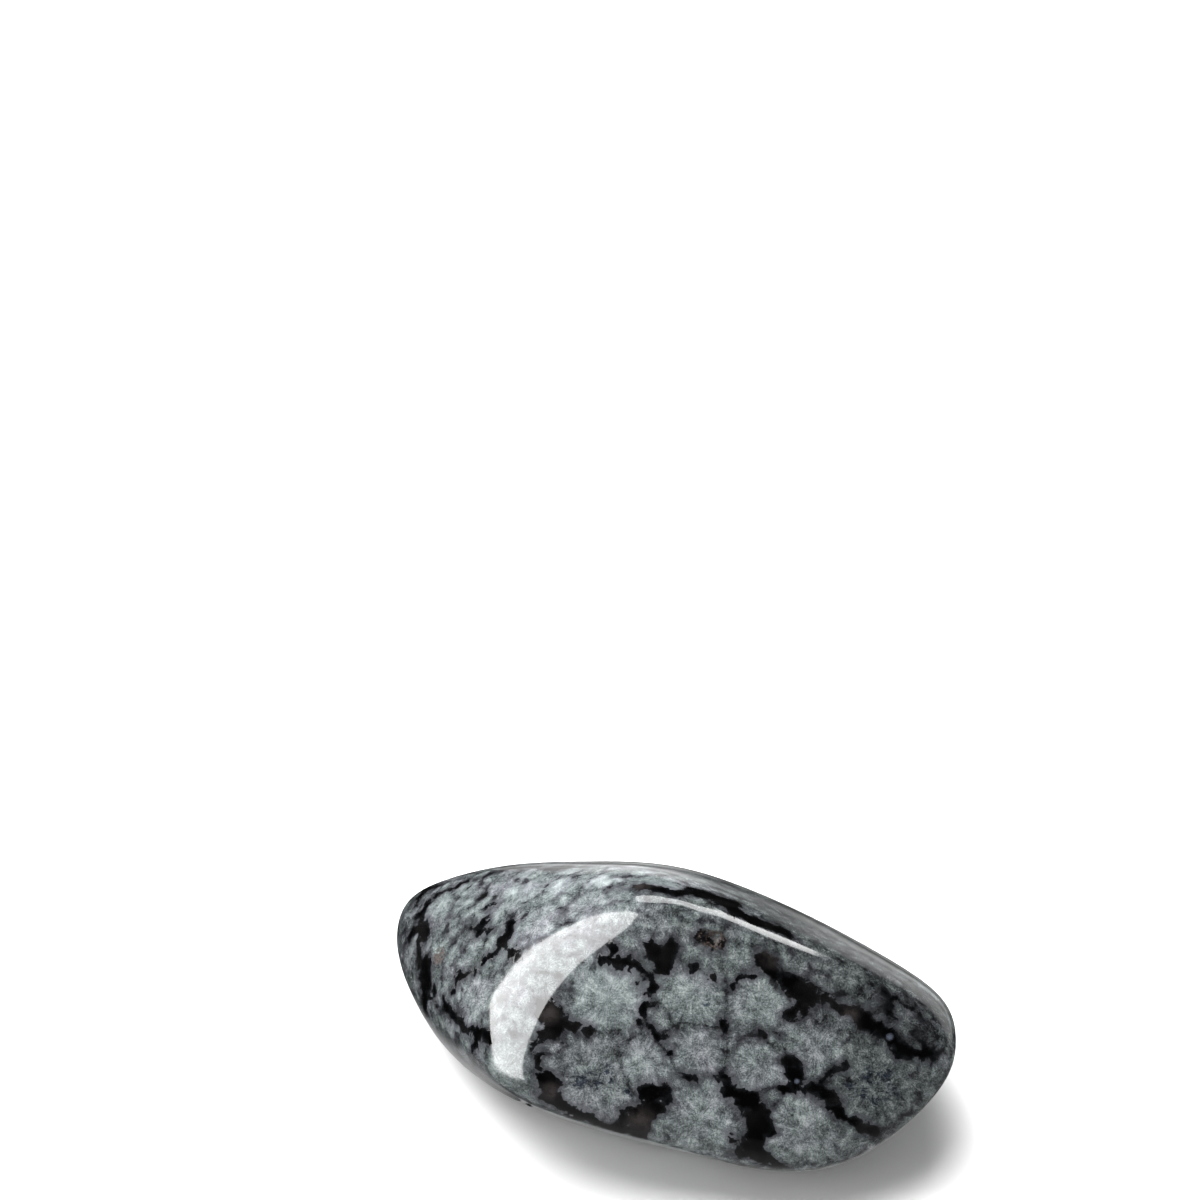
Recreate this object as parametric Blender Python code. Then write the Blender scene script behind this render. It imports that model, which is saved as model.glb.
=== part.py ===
"""A tumbled piece of snowflake obsidian, lying on its flattest side.

The stone is a block of broken glass whose faces and edges have been worn round. Each face
is a plane at some distance from a point inside the stone, its heart, and the planes are
blended into one smooth closed surface. The broad front face leans back under a narrower
top strip. A flat patch is worn on the underside.

The stone's length runs along X, its front faces -Y, and the ground is at Z = 0, below the
middle of its bounding box. The shape is worked out in millimetres and stored in metres.
"""

import math

import bmesh
import bpy
import numpy as np

MM = 0.001

# About 32 mm long, 19 mm wide and 15 mm high: the faces below set it
HEART_HEIGHT = 6.3
EDGE_SHARPNESS = 11
UNEVENNESS = 0.035
SURFACE_STEPS = 5
WELD_TO_GROUND = 0.06

# The ball is stretched first, so that its triangles come out even on the long stone
STRETCH = np.array((1.6, 1.0, 0.75))

# Each face: its heading from +X in degrees, its tilt above level, and its distance from the heart
WORN_FACES = {
    "front": (-65, 40, 5.8),
    "top strip": (71.5, 55, 7.15),
    "left shoulder": (-142, 38, 10.3),
    "left top": (-172, 62, 8.7),
    "back": (76, 34, 8.25),
    "back middle": (111, 45, 8.15),
    "back left": (139, 40, 12.0),
    "left end": (-163, 9, 17.6),
    "left below": (-130, -18, 11.9),
    "front left below": (-111, -30, 9.5),
    "front below": (-87, -37, 7.05),
    "front right below": (-59, -40, 9.5),
    "right below": (-25, -27, 12.45),
    "right end": (9, -2, 17.5),
    "right back": (39, 25, 15.15),
    "right top": (27, 48, 11.0),
    "back side": (103, 5, 8.8),
    "right underside": (15, -48, 10.0),
    "left underside": (180, -55, 12.5),
    "underside": (0, -90, 6.5),
}

# Slow waves left in the polish: direction, wavelength in millimetres and start of each
WAVES = (
    ((0.8, 0.5, 0.3), 8.3, 0.4),
    ((-0.4, 0.8, 0.5), 6.1, 2.1),
    ((0.3, -0.5, 0.8), 7.2, 4.4),
)


def closeness(directions, face):
    """How near a face is along each direction: one over the distance to its plane."""
    heading, tilt, distance = face
    heading = math.radians(heading)
    tilt = math.radians(tilt)
    normal = np.array(
        (
            math.cos(tilt) * math.cos(heading),
            math.cos(tilt) * math.sin(heading),
            math.sin(tilt),
        )
    )
    return np.maximum(directions @ normal, 0.0) / distance


def surface_points(directions):
    """The stone's surface along unit directions from its heart, in millimetres."""
    total = np.zeros(len(directions))
    for face in WORN_FACES.values():
        total += closeness(directions, face) ** EDGE_SHARPNESS
    points = directions * (total ** (-1.0 / EDGE_SHARPNESS))[:, None]

    lift = np.zeros(len(points))
    for along, wavelength, start in WAVES:
        along = np.array(along) / np.linalg.norm(along)
        lift += UNEVENNESS * np.sin(points @ along * 2.0 * math.pi / wavelength + start)
    points += directions * lift[:, None]
    points[:, 2] += HEART_HEIGHT
    return points


def clear_scene():
    for thing in list(bpy.data.objects):
        bpy.data.objects.remove(thing, do_unlink=True)


def stone_material():
    """Black glass that is mostly covered by its grey crystals, with a high polish."""
    material = bpy.data.materials.new("snowflake_obsidian")
    material.use_nodes = True
    shader = material.node_tree.nodes["Principled BSDF"]
    shader.inputs["Base Color"].default_value = (0.12, 0.135, 0.14, 1.0)
    shader.inputs["Metallic"].default_value = 0.0
    shader.inputs["Roughness"].default_value = 0.08
    shader.inputs["IOR"].default_value = 1.5
    return material


def build_stone():
    """A ball pushed out to the worn faces, cut flat where it lies on the ground."""
    bm = bmesh.new()
    bmesh.ops.create_icosphere(bm, subdivisions=SURFACE_STEPS, radius=1.0)
    directions = np.array([vert.co[:] for vert in bm.verts]) * STRETCH
    directions /= np.linalg.norm(directions, axis=1)[:, None]
    points = surface_points(directions)

    # The middle of the bounding box goes over the origin
    middle = (points.min(axis=0) + points.max(axis=0)) / 2.0
    points[:, :2] -= middle[:2]
    for vert, point in zip(bm.verts, points):
        vert.co = point * MM

    bmesh.ops.bisect_plane(
        bm,
        geom=bm.verts[:] + bm.edges[:] + bm.faces[:],
        dist=WELD_TO_GROUND * MM,
        plane_co=(0.0, 0.0, 0.0),
        plane_no=(0.0, 0.0, 1.0),
        clear_inner=True,
    )
    for face in bm.faces:
        face.smooth = True
    rim = [edge for edge in bm.edges if edge.is_boundary]
    for edge in rim:
        for vert in edge.verts:
            vert.co.z = 0.0
    flat = bmesh.ops.holes_fill(bm, edges=rim, sides=0)["faces"]
    for face in flat:
        face.smooth = False
    bmesh.ops.recalc_face_normals(bm, faces=bm.faces[:])

    mesh = bpy.data.meshes.new("tumbled_stone")
    bm.to_mesh(mesh)
    bm.free()
    mesh.materials.append(stone_material())
    return bpy.data.objects.new("tumbled_stone", mesh)


def main():
    clear_scene()
    collection = bpy.data.collections.new("snowflake_obsidian")
    bpy.context.scene.collection.children.link(collection)
    collection.objects.link(build_stone())


main()
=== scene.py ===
"""Looks of a tumbled piece of snowflake obsidian: its polished surface, its grey crystal
flakes and the black glass between them, on a pale floor in soft studio light.

Sizes of the stone are in millimetres, those of the stage in metres, and places in the
photograph in pixels of its 1200 x 1200.
"""

import math

import bmesh
import bpy
import numpy as np
from mathutils import Matrix, Vector
from mathutils.bvhtree import BVHTree
from numpy.linalg import norm


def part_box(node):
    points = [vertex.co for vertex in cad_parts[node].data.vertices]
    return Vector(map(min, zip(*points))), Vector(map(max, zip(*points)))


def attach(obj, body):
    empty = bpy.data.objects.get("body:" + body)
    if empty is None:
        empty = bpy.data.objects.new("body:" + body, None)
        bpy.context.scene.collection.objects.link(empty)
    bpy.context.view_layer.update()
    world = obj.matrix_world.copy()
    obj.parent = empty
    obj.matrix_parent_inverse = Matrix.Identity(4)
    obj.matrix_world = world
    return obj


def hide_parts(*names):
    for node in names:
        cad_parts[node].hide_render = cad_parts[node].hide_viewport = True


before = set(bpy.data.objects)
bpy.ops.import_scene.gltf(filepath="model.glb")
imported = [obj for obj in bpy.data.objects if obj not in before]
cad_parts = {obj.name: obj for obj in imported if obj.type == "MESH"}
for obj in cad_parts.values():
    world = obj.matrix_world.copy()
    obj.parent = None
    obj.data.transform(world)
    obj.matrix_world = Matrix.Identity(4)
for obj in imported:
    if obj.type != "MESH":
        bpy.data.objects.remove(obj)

MM = 0.001
NODE = "tumbled_stone"

# The stone's worn faces: heading from +X and tilt in degrees, distance from its heart
HEART_HEIGHT = 6.3
EDGE_SHARPNESS = 11
WORN_FACES = {
    "front": (-65, 40, 5.8),
    "top strip": (71.5, 55, 7.15),
    "left shoulder": (-142, 38, 10.3),
    "left top": (-172, 62, 8.7),
    "back": (76, 34, 8.25),
    "back middle": (111, 45, 8.15),
    "back left": (139, 40, 12.0),
    "left end": (-163, 9, 17.6),
    "left below": (-130, -18, 11.9),
    "front left below": (-111, -30, 9.5),
    "front below": (-87, -37, 7.05),
    "front right below": (-59, -40, 9.5),
    "right below": (-25, -27, 12.45),
    "right end": (9, -2, 17.5),
    "right back": (39, 25, 15.15),
    "right top": (27, 48, 11.0),
    "back side": (103, 5, 8.8),
    "right underside": (15, -48, 10.0),
    "left underside": (180, -55, 12.5),
    "underside": (0, -90, 6.5),
}

# Slow waves left in the polish: height, then direction, wavelength in millimetres and start of each
UNEVENNESS = 0.035
WAVES = (
    ((0.8, 0.5, 0.3), 8.3, 0.4),
    ((-0.4, 0.8, 0.5), 6.1, 2.1),
    ((0.3, -0.5, 0.8), 7.2, 4.4),
)

# A cube with this many cuts along each edge is stretched, so that its faces come out even
STRETCH = np.array((1.6, 1.0, 0.75))
SURFACE_CUTS = 125

# The camera, as it stood for the photograph: turned from straight ahead by its heading, looking
# down at its tilt, with the origin at a pixel of its picture. It sees what is from the nearest to
# the farthest distance, in metres.
PHOTO_PIXELS = 1200
CAMERA_HEADING = 22
CAMERA_TILT = 42
LENS = 120
SENSOR = 36
CAMERA_DISTANCE = 215.9
ORIGIN_PIXEL = (660.3, 1076.8)
PIXELS_PER_MM = 18.6
NEAREST_SEEN = 0.01
FARTHEST_SEEN = 20.0

# Flakes that the photograph shows: the pixel of the middle, the radius in pixels, and the
# brightness. The brightness is partly each flake's own tone and partly painted light: the flakes
# of the top strip and the upper left are made much brighter to stand in for the light from above
# and the sheen there. The margins are added to the radii, which end where the ragged rim starts.
FLAKE_MARGIN = 1.5
LEFT_FLAKE_MARGIN = 4.0
FRONT_FLAKES = (
    (608, 1000, 43, 1.52), (645, 1030, 9, 0.9), (566, 1000, 15, 0.95), (577, 1036, 7, 0.9),
    (693, 993, 41, 1.15), (664, 1019, 17, 1.0), (757, 1003, 39, 1.12), (788, 1004, 11, 1.05),
    (772, 986, 14, 1.0), (590, 1078, 51, 0.95), (640, 1060, 33, 1.25), (697, 1051, 32, 1.15),
    (757, 1064, 34, 1.18), (768, 1096, 13, 0.9), (698, 1122, 46, 1.12), (742, 1134, 11, 0.75),
    (815, 1047, 34, 1.0), (822, 1018, 15, 0.8), (842, 1034, 13, 0.65), (812, 1080, 12, 0.75),
    (873, 1087, 51, 0.56), (803, 1132, 45, 0.95), (853, 1144, 24, 0.85), (632, 939, 24, 1.0),
    (647, 966, 10, 0.8), (668, 924, 22, 1.0), (662, 946, 9, 0.9), (733, 957, 30, 0.88),
    (690, 951, 16, 0.95), (742, 935, 22, 0.85),
)
RIDGE_FLAKES = (
    (798, 967, 17, 0.65), (781, 946, 11, 0.6), (823, 966, 16, 0.6), (850, 976, 25, 0.58),
    (878, 966, 18, 0.62), (830, 986, 10, 0.6), (848, 1003, 14, 0.55), (868, 1003, 13, 0.5),
    (881, 1016, 9, 0.5), (905, 1020, 19, 0.5), (919, 1036, 11, 0.45), (926, 1012, 15, 0.5),
    (942, 1042, 13, 0.7), (912, 993, 18, 0.5), (890, 984, 15, 0.55), (936, 1075, 18, 1.05),
    (640, 872, 18, 2.1), (672, 880, 15, 2.0), (700, 884, 13, 1.8), (733, 893, 15, 1.5),
    (752, 905, 16, 1.2), (722, 909, 9, 1.0), (800, 934, 19, 0.68), (780, 913, 13, 0.65),
    (832, 945, 20, 0.72), (862, 956, 18, 0.75), (640, 902, 16, 1.4), (615, 893, 16, 1.7),
)
LEFT_FLAKES = (
    (475, 997, 31, 1.16), (500, 960, 16, 1.16), (440, 947, 21, 1.20), (476, 945, 18, 1.20),
    (463, 966, 16, 1.16), (442, 908, 24, 1.34), (470, 892, 16, 1.45), (468, 915, 14, 1.3),
    (500, 886, 20, 1.55), (500, 913, 14, 1.3), (540, 922, 31, 1.43), (588, 905, 28, 1.47),
    (530, 890, 22, 1.94), (560, 885, 20, 2.01), (600, 882, 20, 2.01), (572, 870, 14, 2.01),
    (527, 873, 15, 1.86), (409, 915, 18, 0.85), (409, 957, 20, 0.85), (415, 987, 12, 0.85),
    (421, 1001, 9, 0.85), (436, 985, 11, 1.05), (438, 1003, 9, 1.0), (431, 1022, 17, 1.0),
    (466, 1046, 16, 1.1), (505, 1068, 36, 1.12), (531, 1066, 15, 1.1), (455, 878, 12, 1.55),
    (432, 882, 10, 1.39),
)

# Small flakes deep in the black glass, and bluish dark specks in the middle of flakes: the pixel
# of each and its radius in pixels. Such spots fade out at this many radii.
SPOT_REACH = 1.5
BURIED_FLAKES = (
    (797, 1081, 3), (889, 1037, 4),
)
DARK_SPECKS = (
    (583, 1081, 11), (598, 1082, 8), (608, 1071, 7), (612, 1080, 6), (628, 1092, 6), (707, 1004, 5),
    (868, 1078, 12), (885, 1075, 10), (862, 1092, 9), (893, 1092, 10), (876, 1099, 8), (850, 1085, 7),
)

# Black glass that the photograph shows between the flakes: half its width in pixels, and a line of
# pixels. The margin is taken off, but no half width gets below the thinnest.
GAP_MARGIN = 0.8
THINNEST_GAP = 1.2
GLASS_GAPS = (
    (6, (604, 960), (625, 962), (640, 967)), (4, (613, 946), (612, 957)),
    (3, (640, 967), (650, 978)), (4, (651, 978), (654, 988), (650, 996)),
    (1.5, (649, 996), (645, 1006), (646, 1020)),
    (3, (646, 1020), (653, 1029), (657, 1037), (668, 1034)), (9, (653, 950), (662, 962)),
    (7, (672, 947), (668, 958)), (5, (662, 962), (658, 970)), (3.5, (637, 984), (638, 985)),
    (3.5, (693, 966), (693, 968)), (2.5, (670, 1054), (671, 1055)), (3, (722, 1026), (727, 1031)),
    (3, (725, 981), (731, 985)), (1.5, (738, 978), (754, 976)), (1.5, (703, 973), (716, 978)),
    (2.5, (762, 1034), (765, 1037)), (2.5, (773, 1031), (778, 1036)),
    (8, (765, 960), (775, 970), (788, 982)), (10, (788, 982), (806, 994)),
    (5, (806, 998), (790, 1015)), (6, (806, 996), (822, 996), (834, 1004)),
    (6, (834, 1004), (848, 1010), (858, 1018)), (8, (856, 1010), (868, 1024), (880, 1030)),
    (6, (880, 1030), (892, 1036)), (9, (892, 1040), (906, 1050)),
    (7, (905, 1050), (920, 1056), (928, 1054)), (5, (921, 1040), (926, 1052)),
    (2.5, (886, 1010), (896, 1018)), (3.5, (884, 992), (896, 998)), (2, (886, 1001), (897, 1008)),
    (3, (898, 1002), (918, 1014)), (2.5, (908, 998), (922, 1010)),
    (3.5, (845, 1064), (832, 1070), (822, 1082)), (8, (791, 1064), (795, 1084)),
    (5, (784, 1088), (812, 1088)), (6, (812, 1088), (832, 1098), (838, 1112)),
    (6.5, (838, 1112), (852, 1122), (872, 1131)), (3, (716, 1080), (724, 1085)),
    (8, (726, 1087), (742, 1096)), (12, (748, 1100), (757, 1113)), (4, (757, 1111), (768, 1110)),
    (10, (757, 1115), (763, 1128)), (11, (757, 1132), (750, 1148)), (9, (750, 1148), (766, 1160)),
    (6, (766, 1160), (782, 1166)), (4, (731, 1136), (740, 1152)),
    (3.5, (680, 1072), (690, 1079), (695, 1080)), (7.5, (644, 1091), (655, 1098), (665, 1094)),
    (12.5, (651, 1107), (641, 1117), (637, 1132)), (10, (637, 1132), (622, 1130)),
    (6, (622, 1130), (600, 1125), (578, 1114)), (6, (578, 1114), (562, 1106), (553, 1097)),
    (10, (551, 1095), (547, 1080)), (3, (545, 1078), (538, 1060)), (12, (549, 1012), (556, 1025)),
    (6, (556, 1026), (575, 1028)), (3.5, (575, 1028), (590, 1032)), (6, (540, 1035), (535, 1045)),
    (7, (411, 936), (420, 925)), (6, (421, 925), (422, 912), (430, 902)),
    (7, (424, 928), (424, 938)), (9, (426, 962), (427, 985), (425, 1010)),
    (4.5, (419, 940), (419, 965)), (3.5, (434, 985), (436, 1006)), (2, (443, 995), (445, 1005)),
    (7, (510, 926), (506, 936), (500, 946)), (6, (500, 940), (505, 948), (518, 958)),
    (3.5, (480, 932), (492, 932)), (1.5, (472, 920), (471, 930)), (2, (484, 919), (483, 929)),
    (2, (483, 896), (474, 903)), (1.5, (486, 907), (492, 904)), (4, (454, 990), (458, 977)),
    (4, (460, 978), (475, 970), (484, 962), (496, 951)), (3.5, (445, 1006), (456, 1018)),
    (4.5, (456, 1018), (466, 1031)), (3, (466, 1031), (476, 1030)), (6.5, (478, 1032), (489, 1038)),
    (4, (476, 1045), (478, 1074)), (3, (456, 1036), (460, 1055)),
    (5, (408, 897), (425, 889), (438, 886)), (3, (440, 893), (452, 889), (462, 883), (475, 880)),
    (2.4, (485, 877), (500, 870), (520, 868), (540, 867)), (5, (552, 869), (566, 868)),
    (2.5, (607, 890), (609, 888)), (7, (642, 885), (655, 889)),
    (6, (655, 889), (675, 892), (690, 893)), (11, (696, 893), (715, 897), (733, 903)),
    (5, (716, 903), (735, 911)), (11, (737, 913), (758, 922), (780, 930)),
    (5, (700, 934), (712, 944), (722, 944)),
)

# Thin dark seams where flakes meet, as lines of pixels, and spots of glass with a brownish, hazy
# look, as pixels and radii: partly crystals deeper in the glass, and partly a painted reflection
# of the floor in the polish
SEAMS = (
    ((725, 978), (727, 1000), (724, 1028)),
    ((657, 1035), (668, 1030), (680, 1022), (700, 1025), (724, 1029)),
    ((724, 1029), (745, 1036), (762, 1035)), ((778, 1036), (785, 1050), (789, 1062)),
    ((655, 1040), (668, 1053), (676, 1070)), ((728, 1038), (726, 1060), (721, 1080)),
    ((612, 1035), (620, 1052), (622, 1070), (632, 1092)), ((688, 966), (705, 972)),
    ((590, 1030), (612, 1036)), ((646, 1020), (640, 1034), (628, 1040)),
)
SEAM_WIDTH = 0.09
HAZE_AND_PAINTED_REFLECTION_SPOTS = (
    (775, 950, 14), (766, 940, 9), (549, 1013, 9), (551, 1092, 8), (640, 1122, 12), (640, 886, 9),
    (850, 1015, 7),
)

# The small open pit by the ridge, and rust-coloured flecks
PIT_PIXEL = (712, 939)
PIT_RADIUS = 0.55
PIT_DEPTH = 0.13
RUST_SPOTS = (
    (706, 938, 7), (716, 940, 8), (439, 956, 8),
)

# A flake is a core ball with lobes: their sizes and how far they reach are shares of its radius,
# and they are shifted by a share of their spacing. Its own axes are worked out from its normal and
# the slant.
CORE_SIZE = 0.86
LOBE_COUNTS = (7, 10)
LOBE_SIZES = (0.22, 0.36)
LOBE_REACHES = (0.94, 1.1)
LOBE_SHIFT = 0.3
SLANT = (0.31, 0.52, 0.79)
PHOTOGRAPHED_FLAKES_SEED = 5

# Flakes scattered over the sides that face the camera less than this, the large ones first. The
# cracks between them fade out from the first to the second value of the blend.
HIDDEN = 0.08
HIDDEN_BLEND = (0.05, 0.2)
MORE_FLAKES_SEED = 11
MORE_FLAKES_RADII = (2.6, 2.1, 1.7, 1.3, 0.9, 0.6)
MORE_FLAKES_TRIES = 900
MORE_FLAKES_SPACING = 0.74
MORE_FLAKES_SIZES = (0.85, 1.15)
MORE_FLAKES_TONES = (0.65, 1.1)

# Some have specks, full out to the first share of the radius and gone at the second
SPECKLED_SHARE = 0.15
SPECKS_FADE = (0.1, 0.6)

# Small flakes that fill what the lists leave bare, a little darker than the nearest flake. A place
# is bare where no flake is as deep as this, and clear where it is as far as this from the glass.
FILLER_SEED = 3
FILLER_RADIUS = 0.95
FILLER_SIZES = (0.7, 1.3)
FILLER_TONES = (0.75, 1.0)
BRIGHTEST_HIDDEN_TONE = 1.0
BARE_DEPTH = 0.1
FILLER_CLEARANCE = 0.4

# Black cracks between the flakes of the hidden sides, whose width changes in slow waves. They are
# wider round flakes that are smaller than the island radius.
CRACKS_SEED = 8
CRACK_WAVELENGTHS = (9.0, 7.0, 5.5, 4.3, 3.4, 2.9)
MIDDLE_OF_CRACKS = -0.02
SPREAD_OF_CRACKS = 0.36
CRACK_CLARITY = 2.0
ISLAND_RADIUS = 1.6
WIDEST_ROUND_ISLANDS = 3.0

# Depths and distances at points that are far from any flake or gap, and the limits of what is kept
OUTSIDE = -9.0
FAR_FROM_GAPS = 3.0
KEPT_GAP_DISTANCES = (-1.0, 2.0)
KEPT_SEAM_DISTANCES = (0.0, 1.0)

# How far round a flake to look, in radii and in millimetres more; a step that sets the fibres of
# one flake apart from those of the next; and how near its middle they have a heading
LOOK_ROUND_RADII = 1.2
LOOK_ROUND_MORE = 1.5
FIBRE_STEP = 7.0
NEAREST_TO_MIDDLE = 0.05

# Colours of the crystals by how white they are, with one brightness for all, and of the glass
FLAKE_BRIGHTNESS = 0.61
CRYSTAL_GREYS = (
    (0.0, (0.012, 0.013, 0.014)),
    (0.22, (0.036, 0.039, 0.041)),
    (0.42, (0.076, 0.083, 0.086)),
    (0.62, (0.140, 0.154, 0.157)),
    (0.85, (0.250, 0.268, 0.270)),
    (1.0, (0.360, 0.378, 0.378)),
)
CRYSTAL_HUES = (
    (0.25, (1.02, 0.975, 1.04)),
    (0.75, (0.97, 1.02, 1.0)),
)
SPECK_COLOUR = (0.24, 0.26, 0.34, 1.0)
BLACK_GLASS = (0.0006, 0.0006, 0.0007, 1.0)
SMOKY_GLASS = (0.0040, 0.0037, 0.0037, 1.0)
GLASS_BY_A_RIM = (0.008, 0.009, 0.010, 1.0)
BURIED_COLOUR = (0.050, 0.058, 0.075, 1.0)
HAZE_AND_REFLECTION_COLOUR = (0.026, 0.022, 0.022, 1.0)
RUST_COLOURS = (
    (0.42, (0.002, 0.002, 0.002)),
    (0.55, (0.016, 0.011, 0.009)),
    (0.70, (0.055, 0.040, 0.033)),
)

# Patterns of the outline and the mottling of the flakes: how many features a millimetre holds,
# then detail and roughness. Teeth and fibres are stretched, to run along the spokes of a flake,
# and feathers fan out from the middles of blooms.
BEND = (1.4, 2.0, 0.5)
BEND_REACH = 0.5
LOBES = 1.9
BUDS = 5.2
GRIT = (14.0, 2.0)
DRIFT = (0.8, 1.0)
TEETH_STRETCH = (9.0, 9.0, 0.8)
TEETH = (1.0, 1.0)
BLOOMS = 1.15
FEATHERS = (5.5, 3.0, 0.6)
FEATHER_SHIFT = 9.0
FIBRE_STRETCH = (8.0, 8.0, 1.2)
FIBRES = (1.0, 3.0, 0.6)
COTTON = (2.2, 3.0, 0.6)
WOOL = (13.0, 2.0, 0.6)
BROAD_PATCHES = (0.7, 2.0)
BREAKS_IN_CRACKS = (1.1, 1.0)
WANDERING_SEAMS = (3.0, 1.0)
SPECKLES = (4.0, 3.0, 0.65)

# The same for the glass, the rust and the polish
SMOKE = (0.5, 2.0)
HAZE_BY_A_RIM = (1.6, 1.0)
PATCHES_OF_HAZE_AND_REFLECTION = (1.8, 2.0)
BREAKS_IN_RUST = (4.5, 3.0)
RUST_GRAIN = (9.0, 3.0)
STAINS = (2.2, 3.0)
RIPPLES = (0.9, 3.0)

# The polish: roughness of the glass, what crystals, slow stains and rust add, and the relief
GLASS_ROUGHNESS = 0.03
ROUGHER_ON_CRYSTALS = 0.03
ROUGHER_IN_STAINS = 0.03
ROUGHER_ON_RUST = 0.3
GLASS_IOR = 1.5
RELIEF_STRENGTH = 0.5
RELIEF_HEIGHT = 0.002

# Soft lights on the stone and the floor: heading, tilt, width and height in metres, and watts
LIGHTS_AWAY = 0.6
OVERHEAD_LIGHT = (170, 71, 0.5, 0.5, 10.3)
SIDE_LIGHT = (-157, 34, 0.8, 0.5, 2.2)

# Bright windows that the polish mirrors: corners as headings and tilts, and brightness
WINDOWS_AWAY = 0.6
LARGE_WINDOW = (
    (-94, 6), (-90, 38), (-97, 55), (-112, 62), (-120, 65), (-137, 71), (179, 61), (161, 41),
    (154, 28), (150, 12), (165, -4), (-150, -8), (-120, -8),
)
LARGE_WINDOW_GLOW = 11.0
NARROW_WINDOW = (
    (91, 5), (86, 12), (83, 20), (80, 26), (77, 31), (76, 36), (73, 43), (70, 48), (72, 51), (80, 53),
    (93, 62), (118, 67), (137, 63), (144, 48), (134, 33), (118, 38), (101, 38), (91, 30), (86, 25),
    (88, 12), (90, 6),
)
NARROW_WINDOW_GLOW = 8.0

# Cloth that only the polish mirrors, so that its glass looks black: a dome over all, then bands of
# cloth that follow the floor or stand on it. The mats' glows are a painted reflection of the floor:
# dark behind and further out at the left, as if in shade, and in front a painted shadow that is
# darkest next to the stone. Each is its first and last heading, the degrees over which its ends
# fade, and the radius, the height and the glow of its edges. Their rows are a step of some degrees
# apart. The mats lie a hair above the ground, and pale strips a hair above them.
DOME_RADIUS = 0.9
DARK = 0.01
MATS = 0.00005
OVER_MATS = 0.0001
CLOTH_STEP = 5
CLOTHS = {
    "painted_shade_behind": (
        (35, 165), 0,
        (0.008, MATS, DARK), (0.85, MATS, DARK),
    ),
    "painted_floor_and_shade_at_left": (
        (165, 220), 15,
        (0.008, MATS, 0.4), (0.0135, MATS, 0.5), (0.0165, MATS, DARK), (0.85, MATS, DARK),
    ),
    "painted_floor_shadow_in_front": (
        (220, 395), 40,
        (0.0075, MATS, 0.1), (0.0125, MATS, 0.3), (0.05, MATS, 0.2), (0.85, MATS, 0.12),
    ),
    "wall_in_front": (
        (220, 395), 40,
        (0.85, 0.0, 0.15), (0.85, 0.6, 0.03),
    ),
}

# A dark screen at the left, as headings and heights, which cuts off the large window's left side
SCREEN_RADIUS = 0.024
SCREEN_TOP = (
    (140, 0.026), (156, 0.025), (162, 0.0232), (164, 0.0213), (168, 0.0191), (174, 0.0162),
    (179, 0.0140), (183, 0.0122), (186, 0.0107), (190, 0.0096), (193, 0.0087), (197, 0.0081),
    (202, 0.0076), (210, 0.0071), (215, 0.0057), (219, 0.0034), (223, 0.0),
)

# A painted reflection of bright floor below the large window, glowing as brightly as the window and
# seen only in the polish, as headings and the distances from which it starts. It is full from a
# multiple of these, and ends at one distance.
BRIGHT_FLOOR = (
    (199, 0.090), (206, 0.058), (212, 0.034), (218, 0.022), (226, 0.018), (238, 0.026),
    (248, 0.036), (256, 0.120), (264, 0.260),
)
BRIGHT_FLOOR_FULL = 2.6
BRIGHT_FLOOR_END = 0.7

# A painted reflection of pale floor, which only the polish of the top and right rims shows: heading,
# where it starts and ends, and how much it glows. Near its start it is streaked: each streak is a
# multiple of the start and a share of the glow. The fade is a share of the way to its end, and the
# share of the glow there.
PALE_STRIP = (
    (140, 0.030, 0.100, 0.5), (126, 0.026, 0.110, 1.0), (114, 0.024, 0.110, 1.25),
    (105, 0.024, 0.070, 1.0), (98, 0.024, 0.050, 0.4), (92, 0.023, 0.042, 0.3),
    (86, 0.021, 0.060, 0.35), (81, 0.020, 0.090, 0.5), (74, 0.020, 0.110, 0.65),
    (66, 0.020, 0.150, 0.7), (58, 0.021, 0.250, 0.75), (46, 0.024, 0.300, 0.75),
    (36, 0.028, 0.300, 0.6),
)
PALE_STREAKS = ((0.74, 0.0), (0.82, 0.5), (0.92, 0.1), (1.1, 1.1), (1.3, 0.7), (1.5, 1.1))
PALE_FADE = (0.6, 0.8)

# The floor, just below the ground so that it doesn't cut the stone's flat patch
FLOOR_WIDTH = 4.0
FLOOR_DROP = 0.02 * MM
FLOOR_COLOUR = (0.8, 0.8, 0.8, 1.0)
FLOOR_ROUGHNESS = 0.9
FLOOR_GLOSS = 0.2

# The pale room round the stage, from just above the floor to overhead: sine of the tilt, and colour
ROOM_LOW = (0.05, (0.76, 0.76, 0.76, 1.0))
ROOM_HIGH = (0.6, (0.43, 0.43, 0.43, 1.0))


def heading_vector(heading, tilt):
    """Unit vector for a heading from +X and a tilt above level, in degrees."""
    heading = math.radians(heading)
    tilt = math.radians(tilt)
    return np.array(
        (
            math.cos(tilt) * math.cos(heading),
            math.cos(tilt) * math.sin(heading),
            math.sin(tilt),
        )
    )


def finished_mesh(name, bm):
    """A mesh from what was built."""
    mesh = bpy.data.meshes.new(name)
    bm.to_mesh(mesh)
    bm.free()
    return mesh


def add_object(name, data):
    """A new object, put in the scene."""
    thing = bpy.data.objects.new(name, data)
    bpy.context.scene.collection.objects.link(thing)
    return thing


# Camera

def camera_axes():
    """The camera's right, up and backward directions."""
    back = heading_vector(CAMERA_HEADING - 90, CAMERA_TILT)
    right = heading_vector(CAMERA_HEADING, 0)
    return right, np.cross(back, right), back


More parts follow.
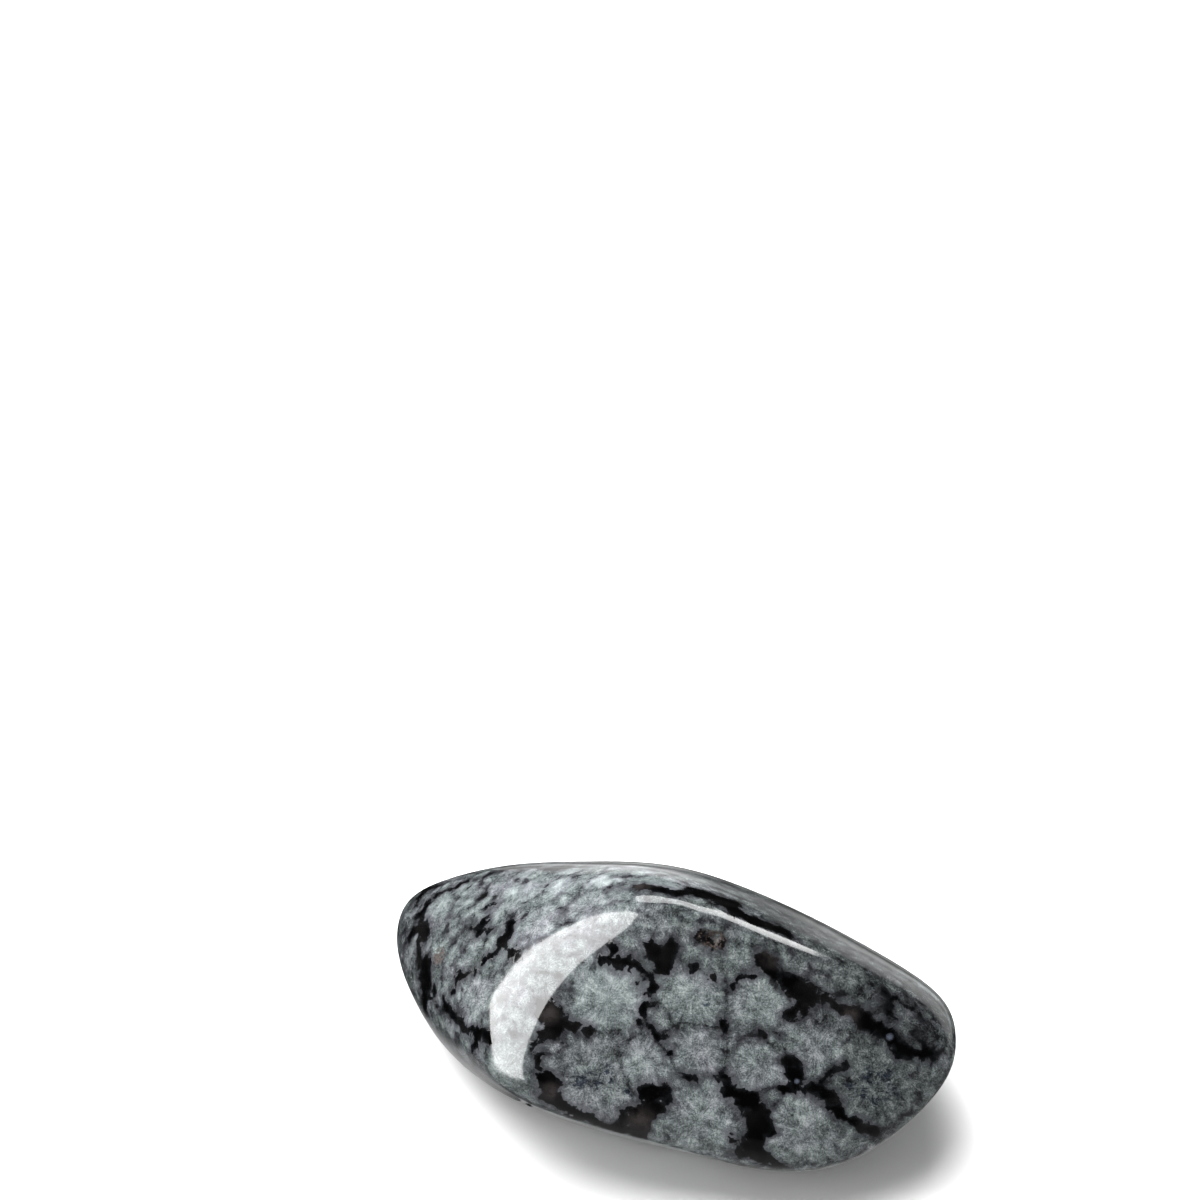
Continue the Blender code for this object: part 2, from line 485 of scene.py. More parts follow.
def from_middle(pixel):
    """How far a pixel is across and above the picture's middle, in focal lengths."""
    focal_pixels = LENS / SENSOR * PHOTO_PIXELS
    across = (pixel[0] - PHOTO_PIXELS / 2) / focal_pixels
    above = (PHOTO_PIXELS / 2 - pixel[1]) / focal_pixels
    return across, above


def camera_place():
    """Where the camera stands, in millimetres, so that the origin shows at its pixel."""
    right, up, back = camera_axes()
    across, above = from_middle(ORIGIN_PIXEL)
    return (back - right * across - up * above) * CAMERA_DISTANCE


def pixel_ray(pixel):
    """The direction from the camera through a pixel of the photograph."""
    right, up, back = camera_axes()
    across, above = from_middle(pixel)
    ray = right * across + up * above - back
    return ray / norm(ray)


def add_camera():
    data = bpy.data.cameras.new("camera")
    data.lens = LENS
    data.sensor_width = SENSOR
    data.clip_start = NEAREST_SEEN
    data.clip_end = FARTHEST_SEEN
    camera = add_object("camera", data)
    right, up, back = camera_axes()
    turn = Matrix((right, up, back)).transposed().to_4x4()
    camera.matrix_world = Matrix.Translation(Vector(camera_place()) * MM) @ turn
    bpy.context.scene.camera = camera


# Shape of the stone

def surface_points(directions):
    """The stone's surface along unit directions from its heart, as in the solid."""
    total = np.zeros(len(directions))
    for heading, tilt, distance in WORN_FACES.values():
        near = np.maximum(directions @ heading_vector(heading, tilt), 0.0) / distance
        total += near ** EDGE_SHARPNESS
    points = directions * (total ** (-1.0 / EDGE_SHARPNESS))[:, None]

    lift = np.zeros(len(points))
    for along, wavelength, start in WAVES:
        along = np.array(along) / norm(along)
        lift += UNEVENNESS * np.sin(points @ along * 2.0 * math.pi / wavelength + start)
    points += directions * lift[:, None]
    points[:, 2] += HEART_HEIGHT
    return points


def stone_mesh():
    """A finely divided cube, blown up to the stone's surface; also its points in millimetres."""
    bm = bmesh.new()
    bmesh.ops.create_cube(bm, size=2.0)
    bmesh.ops.subdivide_edges(bm, edges=bm.edges[:], cuts=SURFACE_CUTS, use_grid_fill=True)
    for face in bm.faces:
        face.smooth = True
    mesh = finished_mesh("polished_stone", bm)

    cube = np.zeros(len(mesh.vertices) * 3)
    mesh.vertices.foreach_get("co", cube)
    directions = np.tan(cube.reshape(-1, 3) * math.pi / 4)
    directions /= norm(directions, axis=1)[:, None]
    directions *= STRETCH
    directions /= norm(directions, axis=1)[:, None]
    points = surface_points(directions)

    low, high = (np.array(corner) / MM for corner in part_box(NODE))
    middle = (points.min(axis=0) + points.max(axis=0)) / 2
    points[:, :2] += (low + high)[:2] / 2 - middle[:2]
    points[:, 2] = np.maximum(points[:, 2], low[2])
    set_points(mesh, points)
    return mesh, points


def set_points(mesh, points):
    mesh.vertices.foreach_set("co", (points * MM).ravel())
    mesh.update()


class Surface:
    """Finds points of the stone's surface, in millimetres."""

    def __init__(self, mesh, points):
        faces = [face.vertices[:] for face in mesh.polygons]
        self.tree = BVHTree.FromPolygons(points.tolist(), faces)
        self.eye = Vector(camera_place())

    def seen_at(self, pixel):
        """The point and normal that a pixel of the photograph shows, or the nearest to it."""
        ray = Vector(pixel_ray(pixel))
        point, normal = self.tree.ray_cast(self.eye, ray)[:2]
        if point is None:
            passing = self.eye + ray * -self.eye.dot(ray)
            point, normal = self.tree.find_nearest(passing)[:2]
        return np.array(point), np.array(normal)

    def nearest(self, place):
        point, normal = self.tree.find_nearest(Vector(place))[:2]
        return np.array(point), np.array(normal)


# Crystal flakes

class Flake:
    """A crystal cluster: a core ball with a ring of lobes, cut by the polished surface."""

    def __init__(self, rng, middle, normal, radius, tone, speckled=False):
        self.middle = middle
        self.radius = radius
        self.tone = tone
        self.speckled = speckled
        self.tint = rng.uniform(-1.0, 1.0)
        self.side = np.cross(normal, SLANT)
        self.side /= norm(self.side)
        self.other = np.cross(normal, self.side)
        self.balls = [(middle, radius * CORE_SIZE)]
        lobes = int(rng.integers(*LOBE_COUNTS, endpoint=True))
        for lobe in range(lobes):
            angle = 2 * math.pi * (lobe + rng.uniform(-LOBE_SHIFT, LOBE_SHIFT)) / lobes
            size = radius * rng.uniform(*LOBE_SIZES)
            reach = radius * rng.uniform(*LOBE_REACHES) - size
            place = middle + (self.side * math.cos(angle) + self.other * math.sin(angle)) * reach
            self.balls.append((place, size))

    def depth(self, points):
        """How far inside the flake each point is, in millimetres; negative outside."""
        inside = [size - norm(points - place, axis=1) for place, size in self.balls]
        return np.max(inside, axis=0)

    def spokes(self, points):
        """Heading round the flake as a cosine and a sine, and distance from its middle."""
        away = points - self.middle
        across = away @ self.side
        along = away @ self.other
        distance = np.hypot(across, along)
        safe = np.maximum(distance, NEAREST_TO_MIDDLE)
        return np.stack((across / safe, along / safe, distance), axis=1)


def photographed_flakes(surface):
    """The flakes of the side that the photograph shows."""
    rng = np.random.default_rng(PHOTOGRAPHED_FLAKES_SEED)
    flakes = []
    for group, margin in (
        (FRONT_FLAKES, FLAKE_MARGIN),
        (RIDGE_FLAKES, FLAKE_MARGIN),
        (LEFT_FLAKES, LEFT_FLAKE_MARGIN),
    ):
        for x, y, radius, tone in group:
            middle, normal = surface.seen_at((x, y))
            flakes.append(Flake(rng, middle, normal, (radius + margin) / PIXELS_PER_MM, tone))
    return flakes


def facing(points, normals):
    """How squarely the surface faces the photograph's camera, from -1 to 1."""
    to_eye = camera_place() - points
    to_eye /= norm(to_eye, axis=-1, keepdims=True)
    return np.sum(normals * to_eye, axis=-1)


def more_flakes(surface, points, shown):
    """Flakes scattered over the hidden sides, the large ones first."""
    rng = np.random.default_rng(MORE_FLAKES_SEED)
    flakes = list(shown)
    for radius in MORE_FLAKES_RADII:
        for place in points[rng.integers(0, len(points), MORE_FLAKES_TRIES)]:
            middle, normal = surface.nearest(place)
            if facing(middle, normal) > HIDDEN:
                continue
            size = radius * rng.uniform(*MORE_FLAKES_SIZES)
            clear = all(
                norm(flake.middle - middle) > MORE_FLAKES_SPACING * (flake.radius + size)
                for flake in flakes
            )
            if clear:
                tone = rng.uniform(*MORE_FLAKES_TONES)
                speckled = rng.random() < SPECKLED_SHARE
                flakes.append(Flake(rng, middle, normal, size, tone, speckled))
    return flakes[len(shown):]


class Cover:
    """What the flakes cover: for each point, the flake that it is in, and how deep in it."""

    def __init__(self, points):
        self.points = points
        self.depth = np.full(len(points), OUTSIDE)
        self.next_depth = np.full(len(points), OUTSIDE)
        self.spokes = np.zeros((len(points), 3))
        self.tint = np.zeros(len(points))
        self.tone = np.ones(len(points))
        self.radius = np.ones(len(points))
        self.specks = np.zeros(len(points))
        self.flakes = []

    def add(self, flake):
        away = norm(self.points - flake.middle, axis=1)
        near = np.flatnonzero(away < flake.radius * LOOK_ROUND_RADII + LOOK_ROUND_MORE)
        depth = flake.depth(self.points[near])
        wins = depth > self.depth[near]
        lesser = np.minimum(depth, self.depth[near])
        self.next_depth[near] = np.maximum(self.next_depth[near], lesser)
        won = near[wins]
        self.depth[won] = depth[wins]
        self.spokes[won] = flake.spokes(self.points[won])
        self.spokes[won, 2] += len(self.flakes) * FIBRE_STEP
        self.tint[won] = flake.tint
        self.tone[won] = flake.tone
        self.radius[won] = flake.radius
        full, gone = SPECKS_FADE
        nearness = np.clip((gone - away[won] / flake.radius) / (gone - full), 0.0, 1.0)
        self.specks[won] = nearness if flake.speckled else 0.0
        self.flakes.append(flake)

    def fill(self, surface, places):
        """Adds small flakes, as bright as the nearest, until none of these places is left bare."""
        rng = np.random.default_rng(FILLER_SEED)
        known = list(self.flakes)
        middles = np.array([flake.middle for flake in known])
        reaches = np.array([flake.radius for flake in known])
        bare = places[self.depth[places] < BARE_DEPTH]
        while len(bare):
            middle, normal = surface.nearest(self.points[rng.choice(bare)])
            radius = FILLER_RADIUS * rng.uniform(*FILLER_SIZES)
            nearest = known[np.argmin(norm(middles - middle, axis=1) - reaches)]
            # The tone, with any painted light in it, comes from the nearest flake; on the hidden
            # sides it is capped
            tone = nearest.tone
            if facing(middle, normal) <= HIDDEN:
                tone = min(tone, BRIGHTEST_HIDDEN_TONE)
            self.add(Flake(rng, middle, normal, radius, tone * rng.uniform(*FILLER_TONES)))
            bare = bare[self.depth[bare] < BARE_DEPTH]


def line_distance(points, line):
    """Distance from each point to a line of several stretches."""
    nearest = np.full(len(points), np.inf)
    for start, end in zip(line[:-1], line[1:]):
        stretch = end - start
        share = np.clip((points - start) @ stretch / max(stretch @ stretch, 1e-9), 0.0, 1.0)
        gap = norm(points - start - share[:, None] * stretch, axis=1)
        nearest = np.minimum(nearest, gap)
    return nearest


def slow_waves(points, seed, wavelengths):
    """A smooth random field over the stone, mostly between -1 and 1."""
    rng = np.random.default_rng(seed)
    total = np.zeros(len(points))
    for wavelength in wavelengths:
        along = rng.normal(size=3)
        along /= norm(along)
        total += np.sin(points @ along * 2 * math.pi / wavelength + rng.uniform(0.0, 2 * math.pi))
    return total / math.sqrt(len(wavelengths))


def shown_gaps(points, surface):
    """Distance from the black glass that the photograph shows, negative in it."""
    distance = np.full(len(points), FAR_FROM_GAPS)
    for half_width, *line in GLASS_GAPS:
        places = np.array([surface.seen_at(pixel)[0] for pixel in line])
        half_width = max(half_width - GAP_MARGIN, THINNEST_GAP) / PIXELS_PER_MM
        distance = np.minimum(distance, line_distance(points, places) - half_width)
    return distance


def made_gaps(points, cover):
    """The same for black glass between flakes on the hidden sides, as cracks of changing width.

    They are wider round small flakes, so that few of these are left as islands.
    """
    width = MIDDLE_OF_CRACKS + SPREAD_OF_CRACKS * slow_waves(points, CRACKS_SEED, CRACK_WAVELENGTHS)
    width *= np.clip(ISLAND_RADIUS / cover.radius, 1.0, WIDEST_ROUND_ISLANDS)
    return ((cover.depth - cover.next_depth) / 2 - width) * CRACK_CLARITY


def near_pixels(points, surface, spots):
    """How near each point is to any of the spots: 1 at its middle, 0 at its reach."""
    nearness = np.zeros(len(points))
    for x, y, radius in spots:
        middle = surface.seen_at((x, y))[0]
        away = norm(points - middle, axis=1) / (radius / PIXELS_PER_MM)
        nearness = np.maximum(nearness, np.clip(1.0 - away / SPOT_REACH, 0.0, 1.0))
    return nearness


def paint_flakes(mesh, points, surface):
    """Stores on the mesh where the flakes are, for the material to read."""
    normals = np.zeros(len(points) * 3)
    mesh.vertex_normals.foreach_get("vector", normals)
    normals = normals.reshape(-1, 3)
    hidden_from, shown_from = HIDDEN_BLEND
    hidden = np.clip((shown_from - facing(points, normals)) / (shown_from - hidden_from), 0.0, 1.0)
    shown = photographed_flakes(surface)
    cover = Cover(points)
    for flake in shown + more_flakes(surface, points, shown):
        cover.add(flake)
    gaps = shown_gaps(points, surface)
    cover.fill(surface, np.flatnonzero((gaps > FILLER_CLEARANCE) | (hidden > 0.5)))
    made = np.minimum(made_gaps(points, cover), gaps)
    gaps = np.minimum(gaps + (made - gaps) * hidden, cover.depth)
    seam = (cover.depth - cover.next_depth) / 2
    specks = np.maximum(cover.specks * hidden, near_pixels(points, surface, DARK_SPECKS))
    store(mesh, "gap_distance", np.clip(gaps, *KEPT_GAP_DISTANCES))
    store(mesh, "seam_distance", np.clip(seam, *KEPT_SEAM_DISTANCES))
    store(mesh, "flake_tint", cover.tint)
    store(mesh, "flake_tone_and_painted_light", cover.tone)
    store(mesh, "flake_specks", specks)
    store(mesh, "buried", near_pixels(points, surface, BURIED_FLAKES))
    store(mesh, "rust", near_pixels(points, surface, RUST_SPOTS))
    store(mesh, "haze_and_painted_reflection", near_pixels(points, surface, HAZE_AND_PAINTED_REFLECTION_SPOTS))
    lines = [np.array([surface.seen_at(pixel)[0] for pixel in line]) for line in SEAMS]
    store(mesh, "seam_line", np.min([line_distance(points, line) for line in lines], axis=0))
    spokes = mesh.attributes.new("flake_spokes", "FLOAT_VECTOR", "POINT")
    spokes.data.foreach_set("vector", cover.spokes.ravel())


def store(mesh, name, values):
    mesh.attributes.new(name, "FLOAT", "POINT").data.foreach_set("value", values)


def sink_pit(points, surface):
    """The small open pit by the ridge."""
    middle, normal = surface.seen_at(PIT_PIXEL)
    away = norm(points - middle, axis=1) / PIT_RADIUS
    hollow = np.where(away < 1.0, (1.0 - away ** 2) ** 2, 0.0)
    return points - hollow[:, None] * PIT_DEPTH * normal


# Materials

class Graph:
    """Short ways to add the shader nodes that the materials here use."""

    def __init__(self, name):
        self.material = bpy.data.materials.new(name)
        self.material.use_nodes = True
        self.tree = self.material.node_tree
        self.shader = self.tree.nodes["Principled BSDF"]

    def add(self, kind, **settings):
        node = self.tree.nodes.new(kind)
        for name, value in settings.items():
            setattr(node, name, value)
        return node

    def feed(self, socket, value):
        if isinstance(value, bpy.types.NodeSocket):
            self.tree.links.new(value, socket)
        else:
            socket.default_value = value

    def math(self, operation, *values):
        node = self.add("ShaderNodeMath", operation=operation)
        for socket, value in zip(node.inputs, values):
            self.feed(socket, value)
        return node.outputs[0]

    def sum(self, *terms):
        """Adds values, where a pair is a value and what it is multiplied by."""
        total = None
        for term in terms:
            if isinstance(term, tuple):
                term = self.math("MULTIPLY", *term)
            total = term if total is None else self.math("ADD", total, term)
        return total

    def ramp(self, value, start, end):
        """Goes smoothly from 0 at start to 1 at end."""
        node = self.add("ShaderNodeMapRange", interpolation_type="SMOOTHSTEP")
        self.feed(node.inputs["Value"], value)
        self.feed(node.inputs["From Min"], min(start, end))
        self.feed(node.inputs["From Max"], max(start, end))
        self.feed(node.inputs["To Min"], float(end < start))
        self.feed(node.inputs["To Max"], float(start < end))
        return node.outputs["Result"]

    def value(self, name):
        return self.add("ShaderNodeAttribute", attribute_name=name).outputs["Fac"]

    def vector(self, name):
        return self.add("ShaderNodeAttribute", attribute_name=name).outputs["Vector"]

    def scaled(self, vector, amounts):
        node = self.add("ShaderNodeVectorMath", operation="MULTIPLY")
        self.feed(node.inputs[0], vector)
        node.inputs[1].default_value = amounts
        return node.outputs[0]

    def moved(self, vector, shift, amount):
        """The vector plus an amount of a shift."""
        node = self.add("ShaderNodeVectorMath", operation="MULTIPLY_ADD")
        self.feed(node.inputs[0], shift)
        node.inputs[1].default_value = (amount, amount, amount)
        self.feed(node.inputs[2], vector)
        return node.outputs[0]

    def noise(self, vector, scale, detail=2.0, roughness=0.5, output="Fac"):
        """A cloudy pattern from 0 to 1, or as a colour three of them."""
        node = self.add("ShaderNodeTexNoise")
        self.feed(node.inputs["Vector"], vector)
        self.feed(node.inputs["Scale"], scale)
        self.feed(node.inputs["Detail"], detail)
        self.feed(node.inputs["Roughness"], roughness)
        return node.outputs[output]

    def cells(self, vector, scale):
        """Irregular cells, whose outputs are distance from the middle, its position and a colour."""
        node = self.add("ShaderNodeTexVoronoi", feature="F1")
        self.feed(node.inputs["Vector"], vector)
        self.feed(node.inputs["Scale"], scale)
        return node.outputs

    def mix(self, share, first, second, blend="MIX"):
        node = self.add("ShaderNodeMix", data_type="RGBA", blend_type=blend)
        self.feed(node.inputs["Factor"], share)
        self.feed(node.inputs["A"], first)
        self.feed(node.inputs["B"], second)
        return node.outputs["Result"]

    def colours(self, value, stops):
        node = self.add("ShaderNodeValToRGB")
        self.feed(node.inputs["Fac"], value)
        elements = node.color_ramp.elements
        while len(elements) < len(stops):
            elements.new(1.0)
        for element, (place, colour) in zip(elements, stops):
            element.position = place
            element.color = (*colour, 1.0)
        return node.outputs["Color"]


class Obsidian(Graph):
    """Black glass with grey crystal flakes, all under one polish.

    The place is in millimetres, so the scale of a pattern is how many features a millimetre holds.
    """

    def __init__(self):
        super().__init__("snowflake_obsidian_polished")
        object_place = self.add("ShaderNodeTexCoord").outputs["Object"]
        self.place = self.scaled(object_place, (1 / MM, 1 / MM, 1 / MM))
        self.bent = self.moved(self.place, self.noise(self.place, *BEND, output="Color"), BEND_REACH)
        self.spokes = self.vector("flake_spokes")
        self.grit = self.cloud(GRIT)
        self.cotton = self.noise(self.bent, *COTTON)
        self.drift = self.cloud(DRIFT)
        self.ragged = self.raggedness()
        self.rim = self.sum(self.value("gap_distance"), self.ragged, (self.drift, 0.45), -0.22)
        self.flake = self.ramp(self.rim, -0.02, 0.03)
        self.rusty = self.rustiness()
        self.set_colour()
        self.set_polish()

    def cloud(self, pattern):
        return self.noise(self.place, *pattern)

    def raggedness(self):
        """How far the lobed and toothed outline stands out from the plain one, in millimetres."""
        lobes = self.cells(self.bent, LOBES)["Distance"]
        buds = self.cells(self.bent, BUDS)["Distance"]
        teeth = self.noise(self.scaled(self.spokes, TEETH_STRETCH), *TEETH)
        return self.sum((lobes, -0.44), (buds, -0.13), (self.grit, -0.04), (teeth, -0.26), 0.42)

    def rustiness(self):
        """Where the rust-coloured flecks are."""
        broken = self.ramp(self.cloud(BREAKS_IN_RUST), 0.38, 0.50)
        return self.math("MULTIPLY", self.ramp(self.value("rust"), 0.05, 0.4), broken)

    def mottling(self):
        """Cottony clumps, with fibres that run out from their middles."""
        blooms = self.cells(self.bent, BLOOMS)
        outward = self.add("ShaderNodeVectorMath", operation="SUBTRACT")
        self.feed(outward.inputs[0], self.bent)
        self.feed(outward.inputs[1], blooms["Position"])
        ray = self.add("ShaderNodeVectorMath", operation="NORMALIZE")
        self.feed(ray.inputs[0], outward.outputs[0])
        ray = self.moved(ray.outputs[0], blooms["Color"], FEATHER_SHIFT)
        feathers = self.noise(ray, *FEATHERS)
        wool = self.cloud(WOOL)
        fibres = self.noise(self.scaled(self.spokes, FIBRE_STRETCH), *FIBRES)
        return self.sum(
            (self.cotton, 1.0),
            (feathers, 0.9),
            (fibres, 0.65),
            (wool, 0.85),
            (blooms["Distance"], -0.25),
            -1.6,
        )

    def whiteness(self, edge):
        """Mottling that fades to plain grey at the rim and where flakes meet, with dark seams."""
        texture = self.math("MULTIPLY", self.mottling(), self.sum((edge, 0.75), 0.3))
        # The brighter a flake is, the weaker is its mottling
        strength = self.sum((self.value("flake_tone_and_painted_light"), -0.42), 1.42)
        texture = self.math("MULTIPLY", texture, strength)
        broad = self.cloud(BROAD_PATCHES)
        seam = self.sum(self.value("seam_distance"), (self.ragged, 0.6))
        meeting = self.ramp(seam, -0.02, 0.4)
        broken = self.ramp(self.cloud(BREAKS_IN_CRACKS), 0.42, 0.6)
        crack = self.math("MULTIPLY", self.ramp(seam, 0.05, -0.03), broken)
        shift = self.cloud(WANDERING_SEAMS)
        wander = self.sum(self.value("seam_line"), (self.grit, 0.12), (shift, 0.2), -0.16)
        line = self.ramp(wander, SEAM_WIDTH, 0.0)
        shade_by_line = self.ramp(wander, SEAM_WIDTH * 4, 0.0)
        return self.sum(
            0.28,
            (edge, 0.22),
            (meeting, 0.12),
            texture,
            (broad, 0.65),
            -0.32,
            (crack, -0.25),
            (line, -0.22),
            (shade_by_line, -0.10),
        )

    def crystal(self):
        """The grey of the flakes, a little greenish or purplish, with bluish dark specks."""
        edge = self.ramp(self.rim, 0.02, 0.45)
        tone = self.add("ShaderNodeVectorMath", operation="SCALE")
        self.feed(tone.inputs[0], self.colours(self.whiteness(edge), CRYSTAL_GREYS))
        # The flake's tone, partly painted light, scales the grey of its crystals
        brightness = self.math("MULTIPLY", self.value("flake_tone_and_painted_light"), FLAKE_BRIGHTNESS)
        self.feed(tone.inputs["Scale"], brightness)
        hue = self.sum((self.value("flake_tint"), 0.15), self.drift, (edge, 0.4), -0.25)
        crystal = self.mix(1.0, tone.outputs[0], self.colours(hue, CRYSTAL_HUES), "MULTIPLY")
        near_specks = self.value("flake_specks")
        speckling = self.noise(self.bent, *SPECKLES)
        speck = self.ramp(self.sum((near_specks, 0.8), (speckling, 2.4), -1.35), 0.2, 0.6)
        speck = self.math("MULTIPLY", speck, self.ramp(near_specks, 0.0, 0.3))
        return self.mix(speck, crystal, SPECK_COLOUR, "MULTIPLY")

    def glass(self):
        """Black glass, faintly brown in places and faintly grey over buried crystals, with a hazy
        brownish look at spots that is partly a painted reflection of the floor.
        """
        smoke = self.ramp(self.cloud(SMOKE), 0.45, 0.7)
        glass = self.mix(smoke, BLACK_GLASS, SMOKY_GLASS)
        near_rim = self.sum(self.rim, (self.cloud(HAZE_BY_A_RIM), 0.4), -0.2)
        near_rim = self.math("MULTIPLY", self.ramp(near_rim, -0.25, 0.1), 0.6)
        glass = self.mix(near_rim, glass, GLASS_BY_A_RIM)
        buried = self.ramp(self.sum(self.value("buried"), (self.cotton, 0.6), -0.3), 0.2, 0.8)
        glass = self.mix(buried, glass, BURIED_COLOUR)
        # A hazy brownish look at spots, partly a painted reflection of the floor
        patchy = self.ramp(self.cloud(PATCHES_OF_HAZE_AND_REFLECTION), 0.2, 0.6)
        return self.mix(self.math("MULTIPLY", self.value("haze_and_painted_reflection"), patchy), glass, HAZE_AND_REFLECTION_COLOUR)

    def set_colour(self):
        """Crystals and glass, with rust over both."""
        colour = self.mix(self.flake, self.glass(), self.crystal())
        rust = self.colours(self.cloud(RUST_GRAIN), RUST_COLOURS)
        self.feed(self.shader.inputs["Base Color"], self.mix(self.rusty, colour, rust))

    def set_polish(self):
        """A high polish, a little duller on the crystals, with a faint relief."""
        roughness = self.sum(
            GLASS_ROUGHNESS,
            (self.flake, ROUGHER_ON_CRYSTALS),
            (self.cloud(STAINS), ROUGHER_IN_STAINS),
            (self.rusty, ROUGHER_ON_RUST),
        )
        self.feed(self.shader.inputs["Roughness"], roughness)
        self.shader.inputs["IOR"].default_value = GLASS_IOR
        ripples = self.cloud(RIPPLES)
        bump = self.add("ShaderNodeBump")
        bump.inputs["Strength"].default_value = RELIEF_STRENGTH
        bump.inputs["Distance"].default_value = RELIEF_HEIGHT * MM
        height = self.sum((self.flake, 0.2), (self.cotton, self.flake), (ripples, 1.5))
        self.feed(bump.inputs["Height"], height)
        self.feed(self.shader.inputs["Normal"], bump.outputs["Normal"])


def add_stone():
    mesh, points = stone_mesh()
    surface = Surface(mesh, points)
    paint_flakes(mesh, points, surface)
    set_points(mesh, sink_pit(points, surface))
    mesh.materials.append(Obsidian().material)
    stone = add_object("polished_stone", mesh)
    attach(stone, "root")
    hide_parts(NODE)


# Floor and light

def add_floor():
    bm = bmesh.new()
    bmesh.ops.create_grid(bm, x_segments=1, y_segments=1, size=FLOOR_WIDTH / 2)
    mesh = finished_mesh("floor", bm)
    graph = Graph("pale_floor")
    graph.shader.inputs["Base Color"].default_value = FLOOR_COLOUR
    graph.shader.inputs["Roughness"].default_value = FLOOR_ROUGHNESS
    graph.shader.inputs["Specular IOR Level"].default_value = FLOOR_GLOSS
    mesh.materials.append(graph.material)
    floor = add_object("floor", mesh)
    floor.location.z = -FLOOR_DROP


def add_light(name, heading, tilt, width, height, power):
    """A soft light that falls on everything; the windows below stand for it in the polish."""
    data = bpy.data.lights.new(name, "AREA")
    data.shape = "RECTANGLE"
    data.size = width
    data.size_y = height
    data.energy = power
    light = add_object(name, data)
    light.location = heading_vector(heading, tilt) * LIGHTS_AWAY
    light.rotation_euler = light.location.to_track_quat("Z", "Y").to_euler()
    light.visible_camera = False
    light.visible_glossy = False


def glow_material():
    """Glows as brightly as the mesh says at each point."""
    material = bpy.data.materials.new("glow")
    material.use_nodes = True
    tree = material.node_tree
    tree.nodes.remove(tree.nodes["Principled BSDF"])
    glow = tree.nodes.new("ShaderNodeEmission")
    strength = tree.nodes.new("ShaderNodeAttribute")
    strength.attribute_name = "glow"
    tree.links.new(strength.outputs["Fac"], glow.inputs["Strength"])
    tree.links.new(glow.outputs[0], tree.nodes["Material Output"].inputs["Surface"])
    return material


def stage_for_reflections(name, bm, glows, material):
    """Puts a glowing shape in the scene that only the polish sees."""
    mesh = finished_mesh(name, bm)
    store(mesh, "glow", glows)
    mesh.materials.append(material)
    shape = add_object(name, mesh)
    shape.visible_camera = False
    shape.visible_diffuse = False
    shape.visible_transmission = False
    shape.visible_shadow = False


def add_window(name, corners, glow, material):
    """A bright window from its corners as headings and tilts."""
    bm = bmesh.new()
    verts = [bm.verts.new(heading_vector(*corner) * WINDOWS_AWAY) for corner in corners]
    bmesh.ops.triangulate(bm, faces=[bm.faces.new(verts)], ngon_method="EAR_CLIP")
    stage_for_reflections(name, bm, [glow] * len(bm.verts), material)


def ring_place(heading, radius, height):
    """A place in metres, at a heading and a distance from the middle of the stone's base."""
    return heading_vector(heading, 0) * radius + (0.0, 0.0, height)


def floor_row(heading, edges):
    """A row of a strip just above the mats, from the distances of its edges and their glows."""
    return [(ring_place(heading, radius, OVER_MATS), glow) for radius, glow in edges]


def strip_of_cloth(name, rows, material):
    """A strip from rows of points, where each point is a place in metres and a glow."""
    bm = bmesh.new()
    verts = [[bm.verts.new(place) for place, _ in row] for row in rows]
    for row, next_row in zip(verts, verts[1:]):
        for near, far, next_near, next_far in zip(row, row[1:], next_row, next_row[1:]):
            bm.faces.new((near, next_near, next_far, far))
    stage_for_reflections(name, bm, [glow for row in rows for _, glow in row], material)


def add_dome(material):
    """Darkness on all sides of the stage."""
    bm = bmesh.new()
    bmesh.ops.create_icosphere(bm, subdivisions=3, radius=DOME_RADIUS)
    stage_for_reflections("dark_dome", bm, [DARK] * len(bm.verts), material)


def add_cloths(material):
    """The mats round the stone, which paint the floor's shade and shadow in the polish, and the wall
    in front, faded at their ends.
    """
    for name, ((first, last), fade, *edges) in CLOTHS.items():
        rows = []
        for heading in range(first, last + 1, CLOTH_STEP):
            share = min(1.0, (min(heading - first, last - heading) + 1) / (fade + 1))
            row = []
            for radius, height, glow in edges:
                row.append((ring_place(heading, radius, height), glow * share))
            rows.append(row)
        strip_of_cloth(name, rows, material)


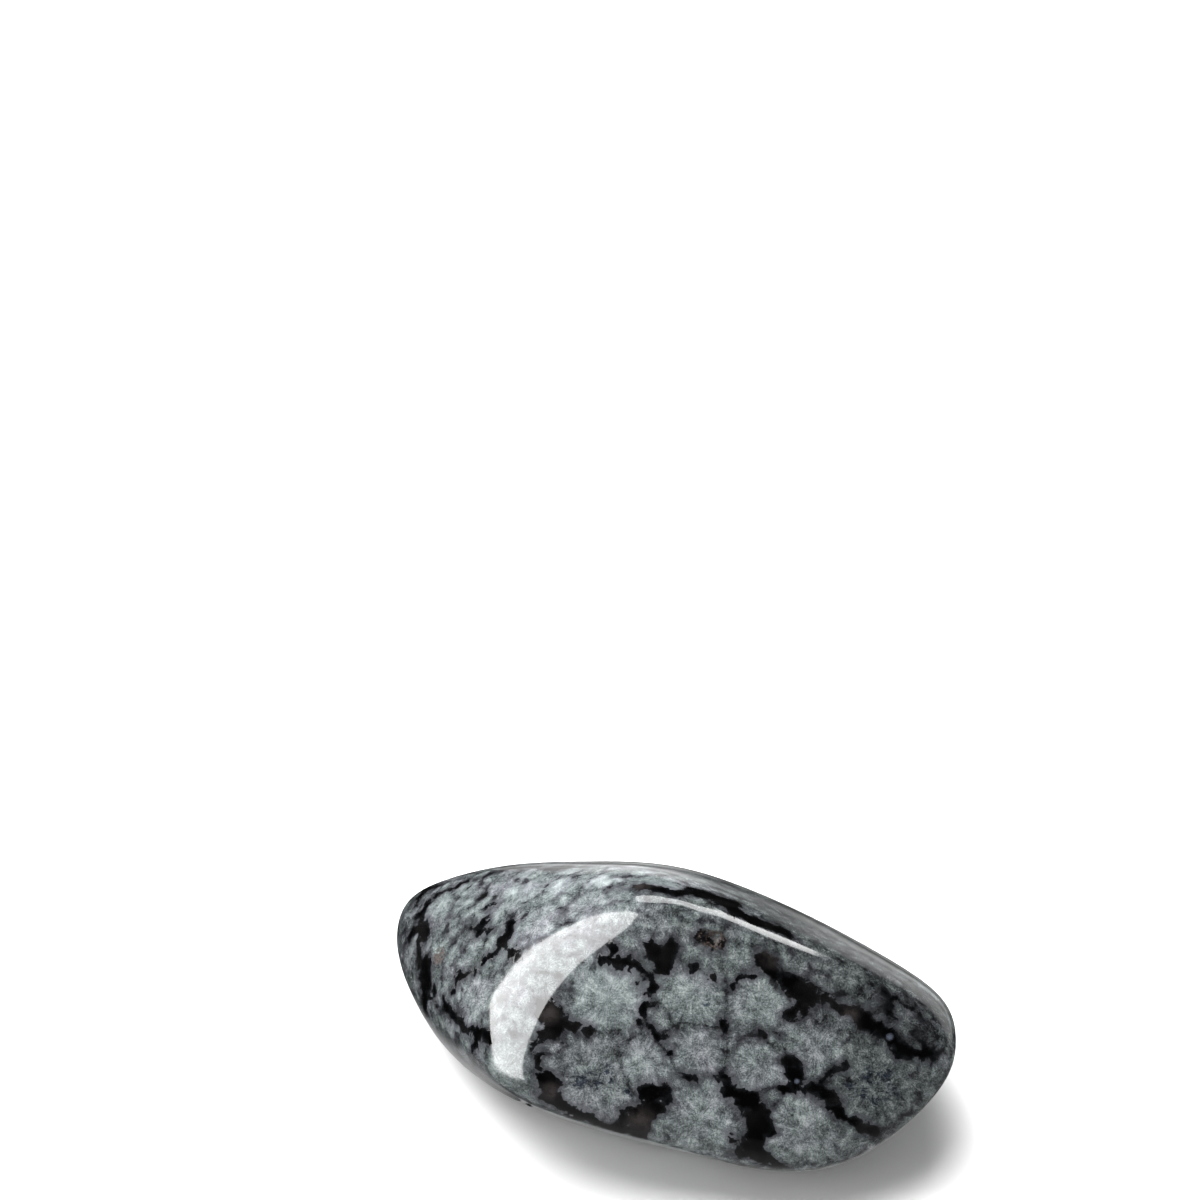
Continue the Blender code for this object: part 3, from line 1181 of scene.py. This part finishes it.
def add_screen(material):
    rows = []
    for heading, top in SCREEN_TOP:
        rows.append([(ring_place(heading, SCREEN_RADIUS, height), DARK) for height in (0.0, top)])
    strip_of_cloth("screen_at_left", rows, material)


def add_pale_strip(material):
    rows = []
    fade_place, fade_share = PALE_FADE
    for heading, start, end, glow in PALE_STRIP:
        row = [(start * reach, max(share * glow, DARK)) for reach, share in PALE_STREAKS]
        row += [(start + (end - start) * fade_place, glow * fade_share), (end, DARK)]
        rows.append(floor_row(heading, row))
    strip_of_cloth("pale_strip", rows, material)


def add_bright_floor(material):
    rows = []
    for heading, start in BRIGHT_FLOOR:
        full = start * BRIGHT_FLOOR_FULL
        row = ((start, DARK), (full, LARGE_WINDOW_GLOW), (BRIGHT_FLOOR_END, LARGE_WINDOW_GLOW))
        rows.append(floor_row(heading, row))
    strip_of_cloth("painted_bright_floor_reflection", rows, material)


def add_room():
    """A plain pale room, a little darker overhead."""
    world = bpy.data.worlds.new("room")
    bpy.context.scene.world = world
    world.use_nodes = True
    tree = world.node_tree
    place = tree.nodes.new("ShaderNodeTexCoord")
    split = tree.nodes.new("ShaderNodeSeparateXYZ")
    shade = tree.nodes.new("ShaderNodeValToRGB")
    tree.links.new(place.outputs["Generated"], split.inputs[0])
    tree.links.new(split.outputs["Z"], shade.inputs["Fac"])
    tree.links.new(shade.outputs["Color"], tree.nodes["Background"].inputs["Color"])
    for element, (position, colour) in zip(shade.color_ramp.elements, (ROOM_LOW, ROOM_HIGH)):
        element.position = position
        element.color = colour


def main():
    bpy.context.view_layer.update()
    bpy.context.scene.view_settings.view_transform = "Standard"
    add_camera()
    add_stone()
    add_floor()
    add_light("overhead", *OVERHEAD_LIGHT)
    add_light("side", *SIDE_LIGHT)
    glow = glow_material()
    add_window("large_window", LARGE_WINDOW, LARGE_WINDOW_GLOW, glow)
    add_window("narrow_window", NARROW_WINDOW, NARROW_WINDOW_GLOW, glow)
    add_dome(glow)
    add_cloths(glow)
    add_screen(glow)
    add_pale_strip(glow)
    add_bright_floor(glow)
    add_room()


main()
